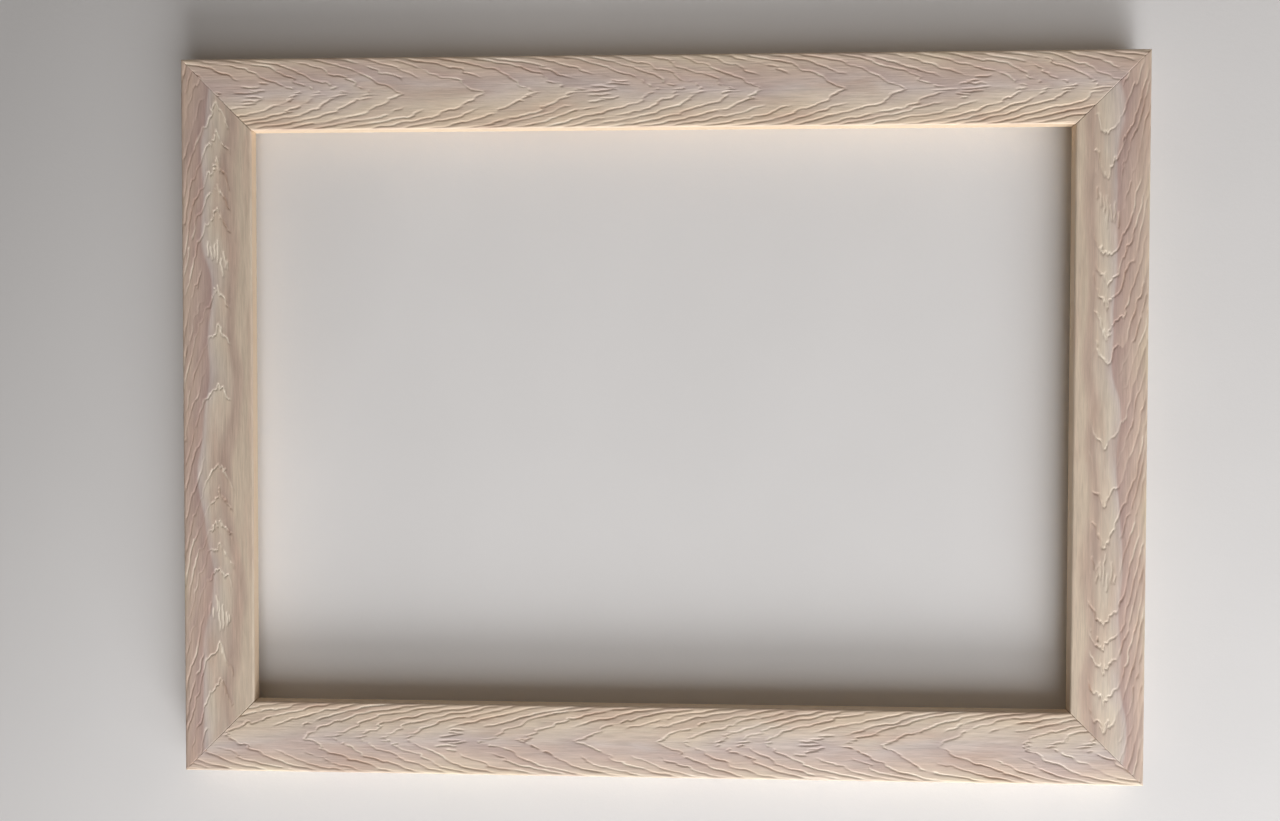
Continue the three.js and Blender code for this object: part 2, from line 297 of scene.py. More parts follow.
def lathe(name, outline, sides, materials):
    """A closed solid turned about Y from an outline of (radius, y) that starts and ends on the axis."""
    angles = np.arange(sides) * 2.0 * math.pi / sides
    rings = np.array(outline[1:-1])
    radius, height = rings[:, 0, None], rings[:, 1, None]
    points = np.stack([
        radius * np.cos(angles),
        height + 0.0 * angles,
        radius * np.sin(angles),
    ], axis=-1).reshape(-1, 3)
    faces = grid_faces(len(rings), sides, close_columns=True)
    start, end = len(points), len(points) + 1
    last = (len(rings) - 1) * sides
    for i in range(sides):
        j = (i + 1) % sides
        faces.append([start, j, i])
        faces.append([end, last + i, last + j])
    points = np.vstack([points, [0.0, outline[0][1], 0.0], [0.0, outline[-1][1], 0.0]])
    return new_solid(name, points, faces, materials)


def prism(name, outline, low, high, axis, materials=()):
    """A closed outline in the other two axes, run from low to high along one axis (in millimetres)."""
    others = [i for i in range(3) if i != axis]
    count = len(outline)
    points = np.zeros((2 * count, 3))
    points[:, others] = np.vstack([outline, outline])
    points[:count, axis], points[count:, axis] = low, high
    faces = grid_faces(2, count, close_columns=True)
    faces += [list(range(count))[::-1], list(range(count, 2 * count))]
    return new_solid(name, points, faces, materials, smooth=False)


def circle(radius, sides, centre=(0.0, 0.0)):
    """The corners of a regular outline with many sides."""
    angles = np.arange(sides) * 2.0 * math.pi / sides
    return np.stack([centre[0] + radius * np.cos(angles), centre[1] + radius * np.sin(angles)], axis=1)


def arc(radius, start, end, count, centre=(0.0, 0.0)):
    """Points on an arc, its start and its end included."""
    x, y = centre
    angles = np.linspace(start, end, count)
    return [(x + radius * math.cos(a), y + radius * math.sin(a)) for a in angles]


def nodes_named(part):
    """The CAD nodes with this in their names, in alphabetical order."""
    return sorted(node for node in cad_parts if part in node)


def middle_of(node):
    """The middle of a CAD node's box, in metres."""
    low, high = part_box(node)
    return (low + high) / 2.0


# ---------------------------------------------------------------- materials


class Finish:
    """A material under construction. Each call adds a node and returns one of its outputs."""

    def __init__(self, name, **settings):
        self.material = bpy.data.materials.new(name)
        self.material.use_nodes = True
        self.tree = self.material.node_tree
        self.shader = self.tree.nodes["Principled BSDF"]
        for socket, value in settings.items():
            self.set(socket.replace("_", " "), value)

    def set(self, socket, value):
        wanted = next(s for s in self.shader.inputs if s.name.lower() == socket.lower())
        self.feed(wanted, value)

    def feed(self, socket, value):
        if isinstance(value, bpy.types.NodeSocket):
            self.tree.links.new(value, socket)
        else:
            socket.default_value = value

    def node(self, kind, inputs, output=0, **settings):
        made = self.tree.nodes.new(kind)
        for key, value in settings.items():
            setattr(made, key, value)
        for key, value in inputs.items():
            self.feed(made.inputs[key], value)
        return made.outputs[output]

    def attribute(self, name, output="Fac"):
        return self.node("ShaderNodeAttribute", {}, output, attribute_name=name)

    def position(self):
        return self.node("ShaderNodeTexCoord", {}, "Object")

    def stretch(self, vector, scale):
        return self.node("ShaderNodeMapping", {"Vector": vector, "Scale": scale})

    def noise(self, vector, scale, detail=2.0, roughness=0.5):
        inputs = {"Vector": vector, "Scale": scale, "Detail": detail, "Roughness": roughness}
        return self.node("ShaderNodeTexNoise", inputs)

    def math(self, operation, a, b=0.0, c=0.0):
        return self.node("ShaderNodeMath", {0: a, 1: b, 2: c}, operation=operation)

    def remap(self, value, low, high, to_low=0.0, to_high=1.0):
        inputs = {"Value": value, 1: low, 2: high, 3: to_low, 4: to_high}
        return self.node("ShaderNodeMapRange", inputs)

    def ramp(self, value, stops):
        made = self.tree.nodes.new("ShaderNodeValToRGB")
        elements = made.color_ramp.elements
        while len(elements) < len(stops):
            elements.new(0.5)
        for element, (place, colour) in zip(elements, stops):
            element.position = place
            element.color = (*colour, 1.0)
        self.feed(made.inputs["Fac"], value)
        return made.outputs["Color"]

    def grey(self, value):
        return self.node("ShaderNodeCombineColor", {0: value, 1: value, 2: value})

    def blend(self, factor, a, b, mode="MIX"):
        inputs = {0: factor, 6: a, 7: b}
        return self.node("ShaderNodeMix", inputs, 2, data_type="RGBA", blend_type=mode)

    def bump(self, height, distance, strength=1.0):
        inputs = {"Height": height, "Distance": distance, "Strength": strength}
        self.set("Normal", self.node("ShaderNodeBump", inputs, "Normal"))


# The washed wood's colours in long soft bands, from the outer edge to the sight edge.
LONG_RAIL_BANDS = (
    (0.00, (0.74, 0.63, 0.48)),
    (0.13, (0.69, 0.57, 0.46)),
    (0.28, (0.645, 0.515, 0.435)),
    (0.42, (0.62, 0.51, 0.455)),
    (0.52, (0.65, 0.56, 0.51)),
    (0.64, (0.69, 0.59, 0.50)),
    (0.80, (0.71, 0.60, 0.48)),
    (0.95, (0.70, 0.57, 0.44)),
)
SHORT_RAIL_BANDS = (
    (0.00, (0.70, 0.59, 0.44)),
    (0.10, (0.66, 0.53, 0.43)),
    (0.22, (0.62, 0.48, 0.40)),
    (0.36, (0.57, 0.43, 0.37)),
    (0.435, (0.53, 0.39, 0.345)),
    (0.47, (0.66, 0.57, 0.52)),
    (0.58, (0.72, 0.63, 0.52)),
    (0.70, (0.68, 0.57, 0.46)),
    (0.78, (0.54, 0.415, 0.34)),
    (0.86, (0.60, 0.47, 0.38)),
    (0.93, (0.67, 0.56, 0.44)),
)
# Each rail's bands, how far out they are moved, in metres, how much lighter or darker its wood is made as
# painted light and shade, and how much lime sits in the tips along its middle, which is partly a painted
# highlight.
WASHES = {
    "top": (LONG_RAIL_BANDS, 0.0, 1.06, 0.0),
    "right": (SHORT_RAIL_BANDS, 0.0, 0.99, 0.55),
    "bottom": (LONG_RAIL_BANDS, 0.0, 1.0, 0.0),
    "left": (SHORT_RAIL_BANDS, 0.0022, 0.91, 0.85),
}
BAND_DRIFT = 0.022  # how far, in metres, the bands drift across a rail
LINE_TINTS = (
    (0.00, (0.87, 0.825, 0.83)),
    (0.35, (0.98, 0.97, 0.97)),
    (1.00, (1.07, 1.06, 1.03)),
)
ROSE = (0.58, 0.41, 0.32, 1.0)
RUST = (0.36, 0.21, 0.13, 1.0)
LIME_AND_HIGHLIGHT = (0.95, 0.88, 0.74, 1.0)


def washed_wood(name, bands, moved_out, light_and_shade_tone, middle_lime_and_highlight):
    """Limed wood with an embossed grain, mauve after each line and cream before the next."""
    finish = Finish(name, specular_ior_level=0.32)
    grain = finish.attribute("grain", "Vector")
    across = finish.node("ShaderNodeSeparateXYZ", {"Vector": grain}, "Y")
    drift = finish.noise(finish.stretch(grain, (16.0, 22.0, 1.0)), 1.0, 1.0)
    broad = finish.noise(finish.stretch(grain, (22.0, 95.0, 1.0)), 1.0, 3.0)
    patches = finish.noise(finish.stretch(grain, (30.0, 110.0, 3.0)), 1.0, 2.0)
    threads = finish.noise(finish.stretch(grain, (45.0, 520.0, 520.0)), 1.0, 3.0, 0.6)
    fibres = finish.noise(finish.stretch(grain, (110.0, 1700.0, 1700.0)), 1.0, 3.0, 0.6)

    # The wash, in bands that wander across the rail, with its streaks.
    wander = finish.math("MULTIPLY_ADD", drift, BAND_DRIFT, moved_out - BAND_DRIFT / 2.0)
    wander = finish.math("MULTIPLY_ADD", broad, 0.004, wander)
    place = finish.math("DIVIDE", finish.math("ADD", across, wander), FACE_WIDTH * MM)
    # Painted light and shade: each rail's colours are made lighter or darker by its own factor.
    toned = [(stop, [light_and_shade_tone * part for part in colour]) for stop, colour in bands]
    lines = finish.ramp(finish.attribute("tint"), LINE_TINTS)
    colour = finish.blend(1.0, finish.ramp(place, toned), lines, "MULTIPLY")
    colour = finish.blend(finish.remap(broad, 0.50, 0.72, 0.0, 0.5), colour, ROSE)
    streaks = finish.remap(threads, 0.3, 0.7, 0.90, 1.10)
    fine = finish.math("MULTIPLY", streaks, finish.remap(fibres, 0.3, 0.7, 0.93, 1.07))
    colour = finish.blend(1.0, colour, finish.grey(fine), "MULTIPLY")

    # Rust and lime in the grooves, and along the middle more lime that is partly a painted highlight.
    groove = finish.attribute("groove")
    rust = finish.remap(broad, 0.46, 0.64, 0.22, 0.6)
    colour = finish.blend(finish.math("MULTIPLY", groove, rust), colour, RUST)
    patchy = finish.remap(patches, 0.50, 0.62, 0.0, 0.85)
    middle = finish.math("MULTIPLY", finish.remap(place, 0.44, 0.48), finish.remap(place, 0.74, 0.68))
    # Painted highlight: the extra lime along the middle also whitens the tips there, together with real
    # lime in patches.
    lime_and_highlight = finish.math("MAXIMUM", patchy, finish.math("MULTIPLY", middle, middle_lime_and_highlight))
    colour = finish.blend(finish.math("MULTIPLY", groove, lime_and_highlight), colour, LIME_AND_HIGHLIGHT)
    finish.set("Base Color", colour)
    finish.set("Roughness", finish.remap(threads, 0.3, 0.7, 0.52, 0.68))
    finish.bump(finish.math("ADD", fibres, threads), 0.0001)
    return finish.material


def cream_paint():
    """The smooth painted walls of the moulding."""
    finish = Finish("cream_paint", specular_ior_level=0.4)
    grain = finish.attribute("grain", "Vector")
    streaks = finish.noise(finish.stretch(grain, (14.0, 260.0, 260.0)), 1.0, 3.0, 0.6)
    specks = finish.noise(grain, 900.0, 2.0)
    finish.set("Base Color", finish.ramp(streaks, [(0.3, (0.66, 0.50, 0.35)), (0.7, (0.72, 0.57, 0.41))]))
    finish.set("Roughness", finish.remap(specks, 0.3, 0.7, 0.48, 0.62))
    finish.bump(finish.math("ADD", streaks, specks), 0.00005)
    return finish.material


def raw_pine():
    """The bare wood of the back and the rebate."""
    finish = Finish("raw_pine", specular_ior_level=0.25)
    grain = finish.attribute("grain", "Vector")
    rings = finish.noise(finish.stretch(grain, (6.0, 190.0, 190.0)), 1.0, 4.0, 0.6)
    fibres = finish.noise(finish.stretch(grain, (60.0, 2200.0, 2200.0)), 1.0, 2.0)
    colour = finish.ramp(rings, [
        (0.30, (0.68, 0.48, 0.29)),
        (0.45, (0.81, 0.62, 0.42)),
        (0.60, (0.85, 0.69, 0.49)),
        (0.75, (0.74, 0.55, 0.35)),
    ])
    fine = finish.remap(fibres, 0.3, 0.7, 0.88, 1.06)
    colour = finish.blend(1.0, colour, finish.grey(fine), "MULTIPLY")
    finish.set("Base Color", colour)
    finish.set("Roughness", finish.remap(fibres, 0.3, 0.7, 0.68, 0.85))
    finish.bump(finish.math("ADD", fibres, rings), 0.00015)
    return finish.material


def metal(name, dark, light, roughness):
    """Sheet or wire metal with fine drawing marks and a faint tarnish."""
    finish = Finish(name, metallic=1.0)
    position = finish.position()
    marks = finish.noise(finish.stretch(position, (500.0, 3000.0, 500.0)), 1.0, 2.0)
    tarnish = finish.noise(position, 260.0, 4.0, 0.6)
    finish.set("Base Color", finish.ramp(tarnish, [(0.32, dark), (0.6, light)]))
    low, high = roughness
    finish.set("Roughness", finish.remap(tarnish, 0.65, 0.35, low, high))
    finish.bump(marks, 0.00002)
    return finish.material


def bumper_rubber():
    """Soft clear-grey rubber with a dusty skin."""
    finish = Finish("bumper_rubber", specular_ior_level=0.4)
    position = finish.position()
    dust = finish.noise(position, 500.0, 4.0, 0.65)
    finish.set("Base Color", finish.ramp(dust, [(0.3, (0.13, 0.12, 0.115)), (0.75, (0.24, 0.23, 0.22))]))
    finish.set("Roughness", finish.remap(dust, 0.3, 0.7, 0.6, 0.85))
    finish.bump(dust, 0.00005)
    return finish.material


def plaster():
    """The wall. Seen from behind it isn't there, so that the back of the frame can be looked at."""
    finish = Finish("plaster", specular_ior_level=0.2)
    position = finish.position()
    mottle = finish.noise(position, 9.0, 3.0)
    tooth = finish.noise(position, 420.0, 3.0, 0.6)
    paint = finish.ramp(mottle, [(0.3, (0.80, 0.795, 0.79)), (0.7, (0.83, 0.825, 0.82))])
    # Painted shade: the wall's colour darkens towards its upper left.
    inputs = {0: position, 1: PAINTED_SHADE_SIDE}
    towards = finish.node("ShaderNodeVectorMath", inputs, "Value", operation="DOT_PRODUCT")
    painted_shade = finish.remap(towards, PAINTED_SHADE_START, PAINTED_SHADE_END)
    finish.set("Base Color", finish.blend(painted_shade, paint, PAINTED_SHADE_COLOUR))
    finish.set("Roughness", finish.remap(tooth, 0.3, 0.7, 0.8, 0.95))
    finish.bump(tooth, 0.0002, 0.3)

    from_behind = finish.node("ShaderNodeNewGeometry", {}, "Backfacing")
    passed_through = finish.node("ShaderNodeLightPath", {}, "Transparent Depth")
    unseen = finish.math("MINIMUM", finish.math("ADD", from_behind, passed_through), 1.0)
    clear = finish.node("ShaderNodeBsdfTransparent", {})
    one_sided = finish.node("ShaderNodeMixShader", {0: unseen, 1: finish.shader.outputs[0], 2: clear})
    output = finish.tree.nodes["Material Output"]
    finish.feed(output.inputs["Surface"], one_sided)
    return finish.material


# ---------------------------------------------------------------- mouldings


def curve(start, control, end, steps):
    """Points on a quadratic curve, without its start."""
    t = (np.arange(steps) + 1.0)[:, None] / steps
    start, control, end = (np.array(p) for p in (start, control, end))
    return (1.0 - t) ** 2 * start + 2.0 * t * (1.0 - t) * control + t ** 2 * end


def moulding_section(back, face):
    """The section as rows of (in from the outer edge, depth) round a closed loop.

    The first row is the foot of the outer side, and the next ones, up to TEXTURED_END, are the embossed
    face with its two rounded edges. The sight wall, the rebate and the back follow.
    """
    edge = face + CROWN
    lip_back = face + LIP_THICKNESS
    rebate = FACE_WIDTH - REBATE_WIDTH
    outer_top = (0.0, edge + OUTER_ROUNDING)
    face_start, face_end = (OUTER_ROUNDING, edge), (FACE_WIDTH - SIGHT_ROUNDING, edge)
    sight_top = (FACE_WIDTH, edge + SIGHT_ROUNDING)
    return np.vstack([
        [(0.0, back - BACK_CHAMFER)],
        [outer_top],
        curve(outer_top, (0.0, edge), face_start, ROUNDING_STEPS),
        curve(face_start, (FACE_WIDTH / 2.0, face - CROWN), face_end, FACE_ROWS),
        curve(face_end, (FACE_WIDTH, edge), sight_top, ROUNDING_STEPS),
        [(FACE_WIDTH, lip_back - LIP_EDGE)],
        [(FACE_WIDTH - LIP_EDGE, lip_back)],
        [(rebate, lip_back)],
        [(rebate, back)],
        [(BACK_CHAMFER, back)],
    ])


def groove_profile(distance):
    """1 at the bottom of a groove, falling off more steeply before it than after it."""
    before, after = GROOVE_HALF_WIDTHS
    return np.exp(-((distance / np.where(distance < 0.0, before, after)) ** 2))


def slopes(field, along, across):
    """How steeply a field rises along the rail and across it. The grid's rows run along the rail."""
    slope_along = np.gradient(field, axis=1) / np.gradient(along, axis=1)
    sheared = slope_along * np.gradient(along, axis=0)
    return slope_along, (np.gradient(field, axis=0) - sheared) / np.gradient(across, axis=0)


def stray(along, across, shape, seed):
    """Noise of a given shape: how far it strays, and how long and wide its lumps are."""
    amount, length, width = shape
    return amount * value_noise(along / length, across / width, seed)


def sweep(reach, arms):
    """How far back an arrow's arms have swept, at a distance from the line of the tips."""
    slope, curving, curve_start = arms
    return slope * reach + curving * np.clip(reach - curve_start, 0.0, None) ** 2


def arrow_field(along, across, side, knots, seed, tips_only):
    """A field that rises along the rail and with distance from its middle. Each arrow is a level line."""
    reach = np.abs(side)
    outer_arms = SHORT_OUTER_ARMS if tips_only else LONG_OUTER_ARMS
    field = along + np.where(side < 0.0, sweep(reach, outer_arms), sweep(reach, INNER_ARMS))
    field -= TIP_LENGTH * np.exp(-((reach / TIP_HALF_WIDTH) ** 2))
    field += stray(along, across, ARM_SWAY, seed + 1) * smooth_ramp(1.0, 8.0, reach)
    field += stray(along, across, ARM_WAVER, seed + 2) * smooth_ramp(0.5, 5.0, reach)
    field += stray(along, across, RAGGEDNESS, seed + 3)
    field += JOG * np.tanh(stray(along, across, JOG_NOISE, seed + 5))
    bulge, half_length, half_width = KNOT_BULGE
    for knot in knots:
        field -= bulge * np.exp(-(((along - knot) / half_length) ** 2) - (reach / half_width) ** 2)
    return field


def tip_hooks(along, across, seed):
    """How far hooks shift the tips, from -1 to 1, and where the tips are broken between the hooks."""
    tooth = ((across + stray(along, across, HOOK_SWAY, seed + 4)) / HOOK_SPACING) % 1.0
    rising = tooth < HOOK_RISE
    shift = np.where(rising, tooth / HOOK_RISE, (1.0 - tooth) / (1.0 - HOOK_RISE)) * 2.0 - 1.0
    gap = smooth_ramp(HOOK_RISE - HOOK_GAP, HOOK_RISE, tooth) + 1.0 - smooth_ramp(0.0, HOOK_GAP, tooth)
    return shift, gap


def grain_relief(along, across, seed, off_middle, tips_only):
    """Embossed grain at places measured from a rail's first knot and from its outer edge.

    Returns its height, from 0 on the surface to about -1 at the bottom of a groove, and a tint that rises
    from 0 just after each line to 1 just before the next. Where only the tips are kept, the lines fade
    out on their way to the sight edge.
    """
    axis = FACE_WIDTH / 2.0 + off_middle
    side = across - axis - 0.8 * value_noise(along / 45.0, 0.0 * along, seed)
    reach = np.abs(side)
    first = math.floor(along.min() / GRAIN_PERIOD) - 1
    last = math.ceil(along.max() / GRAIN_PERIOD) + 1
    knots = [number * GRAIN_PERIOD for number in range(first, last + 1)]
    field = arrow_field(along, across, side, knots, seed, tips_only)
    slope_along, slope_across = slopes(field, along, across)
    hook_shift, hook_gap = tip_hooks(along, across, seed)
    hook_slope = 2.0 / HOOK_RISE / HOOK_SPACING
    near_middle = 1.0 - smooth_ramp(2.2, 4.2, reach)

    height = np.zeros_like(along)
    tint = np.ones_like(along)
    hooking = SHORT_RAIL_HOOKS if tips_only else 1.0
    lines = [(knot + tip, hooking * hook) for knot in knots for tip, hook in ARROWS]
    following = [place for place, _ in lines[1:]] + [lines[-1][0] + GRAIN_PERIOD]
    for number, ((place, hook), next_place) in enumerate(zip(lines, following)):
        bent = field - place + hook * hook_shift * near_middle
        steepness = np.hypot(slope_along, slope_across + hook * hook_slope * near_middle)
        distance = bent / steepness
        passed = smooth_ramp(-0.5, 0.7, distance)
        tint += (np.clip(bent / (next_place - place), 0.0, 1.0) - tint) * passed
        strength = line_strength(along, across, number, seed)
        if hook > DEEPLY_HOOKED:
            strength *= 1.0 - near_middle * hook_gap
        height = np.minimum(height, -strength * groove_profile(distance))

    side_lines = [knot + place for knot in knots for place in SIDE_LINES]
    steepness = np.hypot(slope_along, slope_across)
    for number, place in enumerate(side_lines):
        ragged = reach + 1.5 * value_noise(along / 10.0, 0.0 * along + number, seed + 8)
        strength = line_strength(along, across, number + 57, seed) * smooth_ramp(6.0, 9.0, ragged)
        height = np.minimum(height, -strength * groove_profile((field - place) / steepness))

    for knot in knots:
        height = np.minimum(height, knot_dashes(along - knot, across - axis, seed + 9 + int(knot)))
    if tips_only:
        fade_start = INNER_ARM_LENGTH + 1.3 * value_noise(along / 5.0, 0.0 * along, seed + 10)
        kept = 1.0 - 0.95 * smooth_ramp(0.0, 2.0, side - fade_start)
        quiet = smooth_ramp(-0.2, 0.6, value_noise(along / 26.0, across / 12.0, seed + 11))
        height *= kept * (1.0 - (0.15 + 0.6 * quiet) * smooth_ramp(3.0, 7.0, -side))
        tint = PLAIN_TINT + (tint - PLAIN_TINT) * kept
    return height, tint


def line_strength(along, across, number, seed):
    """How deep a line is along its length. It fades here and there and stops in a few places."""
    uneven = value_noise(along / 11.0 + 3.7 * number, across / 2.5 + 2.3 * number, seed + 6)
    breaks = value_noise(along / 7.0 + 5.3 * number, across / 3.0 + 1.7 * number, seed + 7)
    strength = (0.8 + 0.35 * uneven) * (1.0 - 0.85 * smooth_ramp(0.5, 0.8, breaks))
    return np.clip(strength, 0.0, 1.15)


def knot_dashes(along, side, seed):
    """A knot: a bundle of short parallel cuts along the rail, longest in the middle."""
    random = np.random.default_rng(abs(seed))
    height = np.zeros_like(along)
    for number in range(KNOT_DASHES):
        off_middle = number - (KNOT_DASHES - 1) / 2.0
        dash_side = DASH_SPACING * off_middle + random.uniform(-0.3, 0.3)
        dash_along = random.uniform(-4.0, 4.0) - DASH_STAGGER * off_middle
        half_length = DASH_HALF_LENGTH - DASH_SHORTENING * abs(off_middle) + random.uniform(-2.2, 1.0)
        tilt = random.uniform(-0.06, 0.12)
        wobble = 0.45 * value_noise(along / 2.8, 0.0 * along + number, seed % 997)
        distance = side - dash_side + tilt * (along - dash_along) - wobble
        taper = np.sqrt(np.clip(1.0 - ((along - dash_along) / half_length) ** 2, 0.0, 1.0))
        height = np.minimum(height, -taper * groove_profile(distance))
    return height


def outward_normals(section):
    """Unit normals of a closed (across, depth) loop, pointing out of the section."""
    tangent = np.roll(section, -1, axis=0) - np.roll(section, 1, axis=0)
    normal = np.stack([tangent[:, 1], -tangent[:, 0]], axis=1)
    return normal / np.linalg.norm(normal, axis=1, keepdims=True)


def places_along(across, portions, length):
    """Where the columns of a rail lie at each distance in from its outer edge. Its ends are mitred."""
    gap = MITRE_GAP_OUTER + (MITRE_GAP_SIGHT - MITRE_GAP_OUTER) * (across / FACE_WIDTH) ** 3
    start = across + gap
    return start + portions * (length - 2.0 * start)


class Rails:
    """Where the four rails are, in millimetres, read from the CAD nodes."""

    def __init__(self):
        boxes = {side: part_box(f"{side}_rail") for side in RAILS}
        low_x, high_x = boxes["left"][0].x / MM, boxes["right"][1].x / MM
        low_z, high_z = boxes["bottom"][0].z / MM, boxes["top"][1].z / MM
        self.face, self.back = boxes["top"][0].y / MM, boxes["top"][1].y / MM
        self.width, self.height = high_x - low_x, high_z - low_z
        self.middle = np.array([(low_x + high_x) / 2.0, (low_z + high_z) / 2.0])

    def size(self, turns):
        """A rail's length, and the frame's size in the other direction."""
        return (self.height, self.width) if turns % 2 else (self.width, self.height)

    def corner(self, sides, inset=0.0):
        """The (x, z) of a corner, or of the point that lies in from it on the diagonal."""
        half = np.array([self.width, self.height]) / 2.0 - inset
        return self.middle + np.array(sides) * half


def nail_pockets(rails, sides):
    """The pockets of one corner's two nails, as solids that run out past the rails' back."""
    diagonal = math.atan2(sides[1], sides[0])
    for inset in NAIL_INSETS:
        for turn in (-1, 1):
            angle = diagonal + turn * NAIL_HALF_ANGLE
            along = np.array([math.cos(angle), math.sin(angle)])
            aside = np.array([-along[1], along[0]]) * (NAIL_SHEET / 2.0 + NAIL_MARGIN)
            near = rails.corner(sides, inset) - NAIL_MARGIN * along
            far = near + (NAIL_WING + 2.0 * NAIL_MARGIN) * along
            outline = [near - aside, far - aside, far + aside, near + aside]
            bottom = rails.back - NAIL_HEIGHT - NAIL_MARGIN
            yield prism("nail_pocket", outline, bottom, rails.back + OVERSHOOT, 1)


def screw_holes(rails, side):
    """The holes for the screws in one rail."""
    low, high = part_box(f"{side}_rail")
    for screw in nodes_named("screw"):
        middle = middle_of(screw)
        if low.x < middle.x < high.x and low.z < middle.z < high.z:
            outline = circle(HOLE_RADIUS, 24, (middle.x / MM, middle.z / MM))
            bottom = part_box(screw)[0].y / MM - NAIL_MARGIN
            yield prism("screw_hole", outline, bottom, rails.back + OVERSHOOT, 1)


def embossed_face(side, section, portions, length):
    """How far each point of a rail is pressed in, from 0 to about -1, and the tint of its wash."""
    turns = RAILS[side][0]
    steps = np.linalg.norm(np.diff(section, axis=0), axis=1)
    girth = np.concatenate([[0.0], np.cumsum(steps)])
    girth += OUTER_ROUNDING - girth[FACE_START]

    across = girth[TEXTURED, None] + 0.0 * portions
    along = places_along(section[TEXTURED, :1], portions, length) - FIRST_KNOT[side]
    seed, short = 100 * turns + 3, turns % 2 == 1
    height, tint = grain_relief(along, across, seed, TIPS_OFF_MIDDLE[side], short)
    fade_in = smooth_ramp(girth[1], girth[FACE_START], across)
    fade_out = smooth_ramp(girth[TEXTURED_END], girth[FACE_END], across)

    pressed = np.zeros((len(section), len(portions)))
    tints = np.full_like(pressed, PLAIN_TINT)
    pressed[TEXTURED] = height * (fade_in * fade_out)
    tints[TEXTURED] = tint
    return pressed, tints


def finish_faces(mesh):
    """Gives a rail's faces their material, row by row: washed, painted or bare. The ends come last."""
    row = np.arange(len(mesh.polygons)) // (RAIL_COLUMNS - 1)
    embossed = (row >= 1) & (row < TEXTURED_END)
    washed = embossed | (row == 0)
    painted = (row >= TEXTURED_END) & (row <= TEXTURED_END + 1)
    mesh.polygons.foreach_set("material_index", np.where(washed, 0, np.where(painted, 1, 2)))
    mesh.polygons.foreach_set("use_smooth", embossed)


def write_grain(obj, rails, turns):
    """Writes each vertex's place for the materials: along the rail, in from its outer edge, and depth.

    Each rail is moved on by a metre along the grain, so that no two have the same streaks.
    """
    angle = turns * math.pi / 2.0
    reach = rails.size(turns)[1] * MM
    x, y, z = read_points(obj.data).T
    x, z = x - rails.middle[0] * MM, z - rails.middle[1] * MM
    along = x * math.cos(angle) - z * math.sin(angle)
    outward = x * math.sin(angle) + z * math.cos(angle)
    grain = np.stack([along + turns, reach / 2.0 - outward, y], axis=1)
    obj.data.attributes.new("grain", "FLOAT_VECTOR", "POINT").data.foreach_set("vector", grain.ravel())


def moulding(side, rails, materials):
    """One rail, with its grain pressed into the face, in place of the CAD rail."""
    turns, *corners = RAILS[side]
    length, reach = rails.size(turns)
    section = moulding_section(rails.back, rails.face)
    portions = np.linspace(0.0, 1.0, RAIL_COLUMNS)
    pressed, tints = embossed_face(side, section, portions, length)
    normals = outward_normals(section)[:, None, :]
    shape = section[:, None, :] + normals * (RELIEF_DEPTH * pressed)[..., None]
    across, depth = shape[..., 0], shape[..., 1]

    angle = turns * math.pi / 2.0
    local_x = places_along(across, portions, length) - length / 2.0
    local_z = reach / 2.0 - across
    points = np.stack([
        rails.middle[0] + local_x * math.cos(angle) + local_z * math.sin(angle),
        depth,
        rails.middle[1] - local_x * math.sin(angle) + local_z * math.cos(angle),
    ], axis=-1).reshape(-1, 3)
    faces = grid_faces(len(section), RAIL_COLUMNS, close_rows=True)
    row_starts = [row * RAIL_COLUMNS for row in range(len(section))]
    faces.append(row_starts)
    faces.append([start + RAIL_COLUMNS - 1 for start in reversed(row_starts)])
    obj = new_solid(f"moulding_{side}", points, faces, materials)
    finish_faces(obj.data)
    for name, values in (("tint", tints), ("groove", -pressed)):
        obj.data.attributes.new(name, "FLOAT", "POINT").data.foreach_set("value", values.ravel())

    cutters = list(screw_holes(rails, side))
    for corner in corners:
        cutters += nail_pockets(rails, corner)
    cutter = cutters.pop()
    for other in cutters:
        combine(cutter, other, "UNION")
    combine(obj, cutter, "DIFFERENCE")
    write_grain(obj, rails, turns)

    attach(obj, "frame")
    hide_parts(f"{side}_rail")


# ---------------------------------------------------------------- hardware


def place(piece, middle, body, slot, node):
    """Moves a piece's mesh, rides it on its body and puts it in place of a CAD node."""
    piece.data.transform(Matrix.Translation(middle))
    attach(piece, body)
    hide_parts(node)


def turned(piece, angle):
    """Turns a piece's mesh about Y."""
    piece.data.transform(Matrix.Rotation(angle, 4, "Y"))
    return piece


